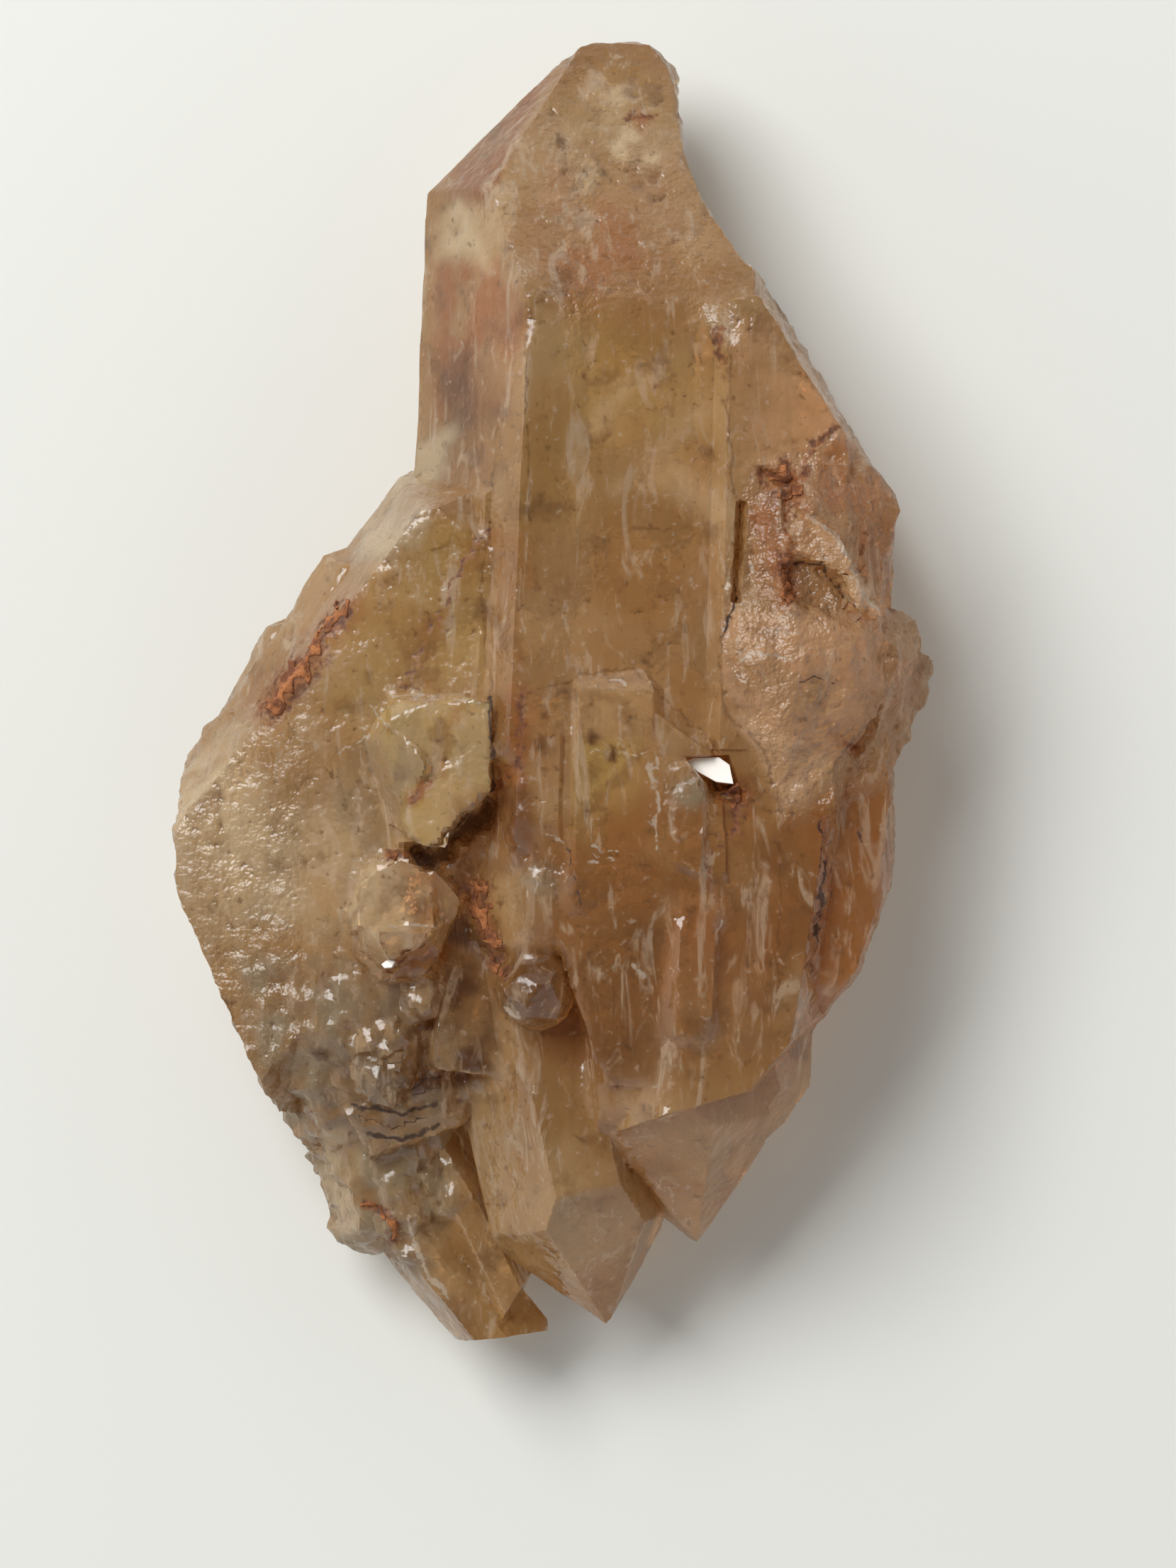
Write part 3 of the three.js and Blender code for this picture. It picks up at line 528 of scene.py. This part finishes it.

# Clay in cracks and hollows, dark cracks and painted shadow in crevices, faint seams, and pale chipped edges and
# painted highlights
clay_lies = surface.draw(
    "clay",
    (0.25, (3.6, 30.75), (4.3, 30.7), (5.0, 30.75)),
    (0.22, (8.5, 19.4), (8.5, 18.4), (8.7, 17.6)),
    (0.4, (10.6, 11.6), (11.3, 11.9), (12.5, 11.3), (13.0, 12.0)),
    (0.2, (12.5, 11.3), (13.2, 12.6), (14.1, 13.9), (14.9, 14.6)),
    (0.75, (11.8, 11.9), (12.5, 11.5), (12.3, 10.6)),
    (0.15, (12.6, 10.4), (12.0, 9.0), (12.3, 7.8)),
    (0.4, (12.0, 7.4), (11.9, 6.4), (12.2, 5.2)),
    (0.15, (16.2, 8.6), (15.8, 6.4)),
    (0.4, (-11.5, 4.6), (-12.6, 3.2), (-13.4, 1.9)),
    (0.8, (-13.0, 2.4), (-14.4, 0.5), (-15.2, -0.5)),
    (0.12, (-3.9, 8.8), (-4.9, 7.4), (-6.4, 4.6), (-8.3, 0.6)),
    (0.8, (-4.5, -10.3), (-4.3, -11.6)),
    (0.45, (-4.3, -11.6), (-3.6, -12.8), (-3.3, -14.6)),
    (0.3, (-9.3, -8.5), (-8.2, -8.3), (-7.2, -8.5)),
    (0.2, (-7.9, -5.5), (-6.9, -4.5)),
    (0.16, (-8.4, 0.6), (-7.6, 1.4)),
    (0.4, (9.0, -4.9), (9.7, -5.4), (9.3, -6.4)),
    (0.22, (9.3, -6.4), (9.4, -7.2)),
    (0.2, (14.0, -6.6), (13.9, -8.0), (14.3, -9.6), (14.2, -10.9)),
    (0.12, (14.2, -10.9), (13.6, -12.8), (13.5, -14.8)),
    (0.16, (-9.3, -14.4), (-8.4, -13.9), (-7.3, -13.3)),
    (0.3, (-10.4, -27.2), (-9.4, -27.6), (-8.8, -28.6)),
    (0.2, (15.2, -2.4), (15.8, -3.0)),
    (0.2, (-2.0, 0.2), (-2.1, -3.3)),
    (0.25, (-2.1, -3.6), (-2.9, -4.3), (-3.6, -4.9)),
    (0.1, (8.75, -7.5), (8.0, -8.4), (7.8, -9.6), (8.5, -11.0)),
)
# Near-black cracks and painted shadow: the crevice under the window crystal, the edge of the hollow under the ledge
# and the pit edge beside the white plate are painted dark where shade falls
surface.draw(
    "cracks_and_shadows",
    (0.06, (9.6, 10.4), (9.4, 7.6), (9.3, 5.2), (8.6, 3.0)),
    (0.1, (-3.75, 0.0), (-3.65, -5.1)),
    (0.42, *crevice),
    (0.09, (12.3, 7.2), (13.2, 7.0), (14.1, 7.1)),
    (0.06, (14.2, 6.8), (14.5, 6.0), (15.1, 5.2)),
    (0.05, (12.1, 1.1), (12.7, 0.7), (13.6, 0.9), (15.0, 0.7)),
    (0.06, (0.3, -8.0), (0.6, -9.6), (1.0, -11.5)),
    (0.18, (8.0, -4.7), (8.7, -5.2)),
    (0.1, (13.8, -6.9), (14.0, -9.2), (13.7, -13.0)),
    (0.1, (15.9, -7.3), (16.1, -7.9)),
    (0.1, (-8.0, -20.8), (-6.4, -20.2)),
    (0.12, (-11.0, -21.8), (-8.4, -22.3), (-6.6, -21.6)),
    (0.12, (-10.4, -23.2), (-8.2, -23.6), (-6.6, -23.0)),
)
surface.draw(
    "seams",
    (0.07, (-1.8, 20), (-1.85, 15), (-1.7, 9)),
    (0.07, (-3.0, 15.4), (-3.5, 12), (-3.8, 9.4)),
    (0.1, (9.0, 20.4), (8.95, 13.5), (9.4, 10.6)),
    (0.1, (-3.9, 8.7), (-4.2, 5.8), (-3.8, 0.2)),
    (0.12, (9.3, 5.0), (8.7, 3.6), (8.4, 1.8), (8.7, 0), (8.9, -1.3), (10.1, -1.8), (10.8, -3.0), (11.8, -6.1)),
    (0.12, (11.8, -6.1), (13.0, -5.2), (14.5, -4.0), (14.9, -3.0), (17, -1)),
    (0.08, (8.3, -2.7), (6.6, -1.2), (3.8, 1.4), (2.4, 1.5), (-1.9, 0.1)),
    (0.07, (5.9, 8.9), (3.4, 9.0)),
    (0.08, (10.1, -10.0), (10.0, -16.0)),
    (0.08, (11.7, -9.0), (11.5, -17.0)),
    (0.07, (0.2, -1.2), (0.0, -6.4)),
)
# Pale chipped edges and painted highlights: some lines are glints of the light along edges, on the amber prism, the
# stub and the rim of the clear knob
surface.draw(
    "chips_and_glints",
    (0.09, (9.4, 1.8), (10.2, 2.3), (11.3, 2.2), (12.4, 1.8)),
    (0.14, (13.1, 9.5), (14.4, 8.7), (15.3, 7.4), (16.0, 5.6), (16.9, 4.2)),
    (0.07, (-0.9, -7.4), (0.2, -7.8)),
    (0.07, (-10.2, -0.6), (-9.04, -1.6), (-6.95, -3.6)),
    (0.06, (-9.2, -1.4), (-11.9, -3.2)),
    (0.07, (-9.0, 0.0), (-7.0, 0.1), (-4.2, -0.4)),
    (0.06, (1.6, -3.0), (4.9, -3.0)),
    (0.09, (5.0, -3.4), (5.2, -4.6), (5.0, -6.4)),
    (0.09, (8.5, -11.9), (8.45, -13.3)),
    (0.07, (-9.5, -12.2), (-6.7, -12.3)),
    (0.14, (-9.3, -14.3), (-9.0, -14.2)),
    (0.1, (10.2, 6.9), (10.4, 6.4)),
    (0.09, (4.7, -3.6), (5.0, -5.2), (4.9, -8.4)),
    (0.06, (1.5, -8.1), (3.0, -8.2)),
    (0.06, (1.4, -8.9), (2.8, -8.8)),
    (0.09, (2.6, 0.9), (3.4, 0.6)),
    (0.14, (4.1, -14.4), (4.3, -14.8)),
    (0.12, (-8.1, -27.8), (-7.3, -30.2), (-6.0, -32.3)),
    (0.09, (6.4, -4.8), (7.3, -4.5)),
    (0.1, (-1.5, -9.1), (-1.1, -9.8), (-1.3, -10.6)),
    (0.1, (-2.9, -16.6), (-2.2, -17.1)),
)
only(quartz)
bpy.ops.object.shade_smooth_by_angle(angle=math.radians(SHARP_ANGLE))


def new_material(name):
    material = bpy.data.materials.new(name)
    material.use_nodes = True
    return material, material.node_tree, material.node_tree.nodes["Principled BSDF"]


def put(tree, kind, values=None, **looks):
    """Adds a node. A value may be a plain value or another node's output."""
    node = tree.nodes.new(kind)
    for key, value in looks.items():
        setattr(node, key, value)
    for key, value in (values or {}).items():
        if isinstance(value, bpy.types.NodeSocket):
            tree.links.new(value, node.inputs[key])
        else:
            node.inputs[key].default_value = value
    return node


def calc(tree, operation, a, b, clamp=False):
    return put(tree, "ShaderNodeMath", {0: a, 1: b}, operation=operation, use_clamp=clamp).outputs[0]


def blotches(tree, place, size, detail=3.0, rough=0.6, twist=0.0):
    """Cloud-like unevenness from 0 to 1. size is in millimetres."""
    looks = {"Vector": place, "Scale": 1 / (size * MM), "Detail": detail, "Roughness": rough, "Distortion": twist}
    return put(tree, "ShaderNodeTexNoise", looks).outputs["Fac"]


def levels(tree, value, low, high, to_low=0.0, to_high=1.0):
    """Turns the range from low to high smoothly into the range from to_low to to_high."""
    looks = {"Value": value, "From Min": low, "From Max": high, "To Min": to_low, "To Max": to_high}
    return put(tree, "ShaderNodeMapRange", looks, interpolation_type="SMOOTHSTEP").outputs["Result"]


def tinted(tree, base, tint, amount):
    """Mixes a tint over a base colour by an amount from 0 to 1."""
    looks = {0: amount, 6: base, 7: tint}
    return put(tree, "ShaderNodeMix", looks, data_type="RGBA", clamp_factor=True).outputs[2]


def quartz_finish():
    material, tree, shader = new_material("quartz")
    place = put(tree, "ShaderNodeTexCoord").outputs["Object"]
    cloud = blotches(tree, place, 2.2, 3.0, 0.66)
    speck = blotches(tree, place, 0.55, 2.0, 0.7)
    along = put(tree, "ShaderNodeMapping", {"Vector": place, "Scale": (1.0, 0.1, 1.0)}).outputs["Vector"]
    streak = blotches(tree, along, 0.8, 1.0, 0.65)
    slanted = put(
        tree, "ShaderNodeMapping", {"Vector": place, "Rotation": (0, 0, math.radians(40)), "Scale": (1.0, 0.25, 1.0)}
    ).outputs["Vector"]
    wisp = blotches(tree, slanted, 1.3, 3.0, 0.75, 0.9)
    looks = {"Vector": place, "Scale": 1 / (0.7 * MM), "Detail": 2.0, "Roughness": 0.7}
    meander = put(tree, "ShaderNodeTexNoise", looks).outputs["Color"]
    meander = put(tree, "ShaderNodeVectorMath", {0: meander, 1: (0.5, 0.5, 0.5)}, operation="SUBTRACT").outputs[0]

    def drawn(name, sway, fray, inner=0.4, outer=1.5):
        """1 on the stored lines. sway is how far they meander, in millimetres, and fray breaks their edges up."""
        way = put(tree, "ShaderNodeAttribute", attribute_name=name).outputs["Vector"]
        bent = put(tree, "ShaderNodeVectorMath", {0: meander, "Scale": sway}, operation="SCALE").outputs[0]
        way = put(tree, "ShaderNodeVectorMath", {0: way, 1: bent}, operation="ADD").outputs[0]
        away = put(tree, "ShaderNodeVectorMath", {0: way}, operation="LENGTH").outputs["Value"]
        half = put(tree, "ShaderNodeAttribute", attribute_name=name + "_width").outputs["Fac"]
        away = calc(tree, "DIVIDE", away, half)
        frayed = calc(tree, "MULTIPLY", calc(tree, "SUBTRACT", speck, 0.5), fray)
        return levels(tree, calc(tree, "ADD", away, frayed), inner, outer, 1.0, 0.0)

    colour = put(tree, "ShaderNodeAttribute", attribute_name="tint").outputs["Color"]
    colour = tinted(tree, colour, VEIL, levels(tree, wisp, 0.53, 0.68, 0.0, 0.6))
    colour = tinted(tree, colour, SHADE, levels(tree, cloud, 0.47, 0.3, 0.0, 0.5))
    colour = tinted(tree, colour, PALE_SPECK, levels(tree, speck, 0.62, 0.74, 0.0, 0.45))
    colour = tinted(tree, colour, DARK_SPECK, levels(tree, speck, 0.38, 0.27, 0.0, 0.5))
    clay = drawn("clay", 0.9, 2.4)
    clay_tint = tinted(tree, DEEP_CLAY_FILM, CLAY_FILM, levels(tree, speck, 0.36, 0.62))
    colour = tinted(tree, colour, SEAM, calc(tree, "MULTIPLY", drawn("seams", 0.5, 3.0), 0.4))
    colour = tinted(tree, colour, clay_tint, calc(tree, "MULTIPLY", clay, 0.9))
    # Cracks, and painted shadow in crevices
    cracks_and_shadows = drawn("cracks_and_shadows", 0.4, 2.2)
    colour = tinted(tree, colour, CRACK_AND_SHADOW, calc(tree, "MULTIPLY", cracks_and_shadows, 0.92))
    # Pale chipped edges, and painted highlights along edges
    colour = tinted(tree, colour, CHIP_AND_GLINT, calc(tree, "MULTIPLY", drawn("chips_and_glints", 0.5, 3.4), 0.75))
    tree.links.new(colour, shader.inputs["Base Color"])

    frosted = put(tree, "ShaderNodeAttribute", attribute_name="frosted").outputs["Fac"]
    roughness = calc(tree, "ADD", levels(tree, cloud, 0.3, 0.7, 0.1, 0.26), calc(tree, "MULTIPLY", frosted, 0.18))
    roughness = calc(tree, "ADD", roughness, calc(tree, "MULTIPLY", calc(tree, "ADD", clay, cracks_and_shadows), 0.5), True)
    tree.links.new(roughness, shader.inputs["Roughness"])

    height = calc(tree, "ADD", calc(tree, "MULTIPLY", cloud, 0.5), calc(tree, "MULTIPLY", streak, 0.2))
    height = calc(tree, "ADD", height, calc(tree, "MULTIPLY", speck, levels(tree, frosted, 0.0, 1.0, 0.08, 0.8)))
    bump = put(tree, "ShaderNodeBump", {"Height": height, "Strength": 0.6, "Distance": 0.0005})
    tree.links.new(bump.outputs["Normal"], shader.inputs["Normal"])

    shader.inputs["IOR"].default_value = QUARTZ_IOR
    shader.inputs["Transmission Weight"].default_value = SEE_THROUGH
    absorb = put(tree, "ShaderNodeVolumeAbsorption", {"Color": DEPTH_TINT, "Density": DEPTH_DENSITY})
    tree.links.new(absorb.outputs["Volume"], tree.nodes["Material Output"].inputs["Volume"])
    return material


quartz.data.materials.clear()
quartz.data.materials.append(quartz_finish())


def crust(name, lies, least, thickness):
    """A thin layer over the part of the quartz where lies is above least."""
    piece = quartz.copy()
    piece.data = quartz.data.copy()
    piece.name = name
    bpy.context.scene.collection.objects.link(piece)
    for key in [k for k in piece.keys() if k.startswith("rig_")]:
        del piece[key]
    piece.data.materials.clear()
    only(piece)
    bpy.ops.object.mode_set(mode="EDIT")
    bpy.ops.mesh.select_mode(type="VERT")
    bpy.ops.mesh.select_all(action="DESELECT")
    bpy.ops.object.mode_set(mode="OBJECT")
    piece.data.vertices.foreach_set("select", lies < least)
    bpy.ops.object.mode_set(mode="EDIT")
    bpy.ops.mesh.delete(type="VERT")
    bpy.ops.object.mode_set(mode="OBJECT")
    layer = piece.modifiers.new("layer", "SOLIDIFY")
    layer.thickness = thickness * MM
    layer.offset = 0.6
    apply_modifiers(piece)
    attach(piece, "root")
    return piece


grains = np.array([noise.noise(Vector(corner) / CLAY_GRAIN) for corner in surface.place])
clay = crust("clay_in_the_cracks", clay_lies + CLAY_FRAY * grains, CLAY_LEAST, CLAY_THICKNESS)
only(clay)
finer = clay.modifiers.new("finer", "SUBSURF")
finer.levels = finer.render_levels = 1
apply_modifiers(clay)
clay.vertex_groups.clear()
clay.vertex_groups.new(name="clay_grit").add(range(len(clay.data.vertices)), 1.0, "REPLACE")
relief(clay, "clay_grit", "CLOUDS", 0.3, 0.22)


def plate(name, corners, height, thickness=0.3):
    """A flat, sharp-edged plate, tilted by GLINT_TILT, that carries a painted glint."""
    bpy.ops.object.select_all(action="DESELECT")
    bpy.ops.mesh.primitive_circle_add(vertices=len(corners), radius=MM, fill_type="NGON", location=(0, 0, 0))
    piece = bpy.context.object
    piece.name = name
    nearer = CAMERA_DISTANCE / (CAMERA_DISTANCE - (height - MIDDLE_HEIGHT))
    middle = np.mean(corners, axis=0)
    for vertex, (x, y) in zip(piece.data.vertices, corners):
        rise = GLINT_TILT[0] * (x - middle[0]) + GLINT_TILT[1] * (y - middle[1])
        vertex.co = (
            MM * (CAMERA_OVER[0] + (x + SHIFT[0] - CAMERA_OVER[0]) / nearer),
            MM * (CAMERA_OVER[1] + (y + SHIFT[1] - CAMERA_OVER[1]) / nearer),
            MM * (height + rise + 0.5 * thickness),
        )
    layer = piece.modifiers.new("layer", "SOLIDIFY")
    layer.thickness = thickness * MM
    layer.offset = 0
    apply_modifiers(piece)
    bpy.ops.object.mode_set(mode="EDIT")
    bpy.ops.mesh.select_all(action="SELECT")
    bpy.ops.mesh.normals_make_consistent(inside=False)
    bpy.ops.object.mode_set(mode="OBJECT")
    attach(piece, "root")
    return piece


# White plates as painted glints: reflections of the light on a flat facet in a pit and on the stub
reflection_plate = plate("painted_reflection_plate", reflection_leaf, leaf_height)
glint_plate = plate("painted_glint_plate", glint, glint_height)


def clay_finish():
    material, tree, shader = new_material("iron_clay")
    place = put(tree, "ShaderNodeTexCoord").outputs["Object"]
    lumps = blotches(tree, place, 0.9, 3.0, 0.7)
    grit = blotches(tree, place, 0.22, 2.0, 0.7)
    colour = tinted(tree, DEEP_CLAY, DRY_CLAY, levels(tree, lumps, 0.38, 0.62))
    colour = tinted(tree, colour, CLAY_PITS, levels(tree, grit, 0.45, 0.3, 0.0, 0.6))
    tree.links.new(colour, shader.inputs["Base Color"])
    bump = put(tree, "ShaderNodeBump", {"Height": grit, "Strength": 0.7, "Distance": 0.0002})
    tree.links.new(bump.outputs["Normal"], shader.inputs["Normal"])
    shader.inputs["Roughness"].default_value = 0.85
    return material


def painted_glint_finish():
    # Opaque near-white, a painted reflection of the light
    material, tree, shader = new_material("painted_glint_white")
    place = put(tree, "ShaderNodeTexCoord").outputs["Object"]
    haze = blotches(tree, place, 1.2, 2.0)
    tree.links.new(tinted(tree, GLINT, BRIGHT_GLINT, haze), shader.inputs["Base Color"])
    shader.inputs["Roughness"].default_value = 0.35
    return material


clay.data.materials.append(clay_finish())
white = painted_glint_finish()
reflection_plate.data.materials.append(white)
glint_plate.data.materials.append(white)

# Floor, light and camera
bpy.ops.object.select_all(action="DESELECT")
bpy.ops.mesh.primitive_plane_add(size=4.0, location=(0, 0, 0))
floor = bpy.context.object
floor.name = "floor"
paper, _, paper_shader = new_material("pale_floor")
paper_shader.inputs["Base Color"].default_value = PAPER
paper_shader.inputs["Roughness"].default_value = 0.7
floor.data.materials.append(paper)

world = bpy.data.worlds.new("soft_room")
bpy.context.scene.world = world
world.use_nodes = True
sky = world.node_tree.nodes["Background"]
sky.inputs["Color"].default_value = (1.0, 1.0, 1.0, 1)
way_up = put(world.node_tree, "ShaderNodeTexCoord").outputs["Generated"]
height = put(world.node_tree, "ShaderNodeSeparateXYZ", {0: way_up}).outputs["Z"]
world.node_tree.links.new(levels(world.node_tree, height, 0.2, 0.95, 0.85, 0.1), sky.inputs["Strength"])


def soft_light(name, place, size, power, aim=(0, 0, 0.008)):
    bpy.ops.object.light_add(type="AREA", location=place)
    lamp = bpy.context.object
    lamp.name = name
    lamp.data.shape = "RECTANGLE"
    lamp.data.size, lamp.data.size_y = size
    lamp.data.energy = power
    way = Vector(aim) - Vector(place)
    lamp.rotation_mode = "QUATERNION"
    lamp.rotation_quaternion = way.to_track_quat("-Z", "Y")


soft_light("window_light", WINDOW_PLACE, WINDOW_SIZE, WINDOW_POWER)

bpy.ops.object.camera_add(
    location=(CAMERA_OVER[0] * MM, CAMERA_OVER[1] * MM, (CAMERA_DISTANCE + MIDDLE_HEIGHT) * MM),
    rotation=(0, 0, 0),
)
camera = bpy.context.object
camera.name = "camera"
camera.data.sensor_width = SENSOR
camera.data.lens = SENSOR * CAMERA_DISTANCE / FRAME_HEIGHT
camera.data.clip_start = 0.01
camera.data.clip_end = 10
bpy.context.scene.camera = camera
bpy.context.scene.view_settings.view_transform = "Standard"
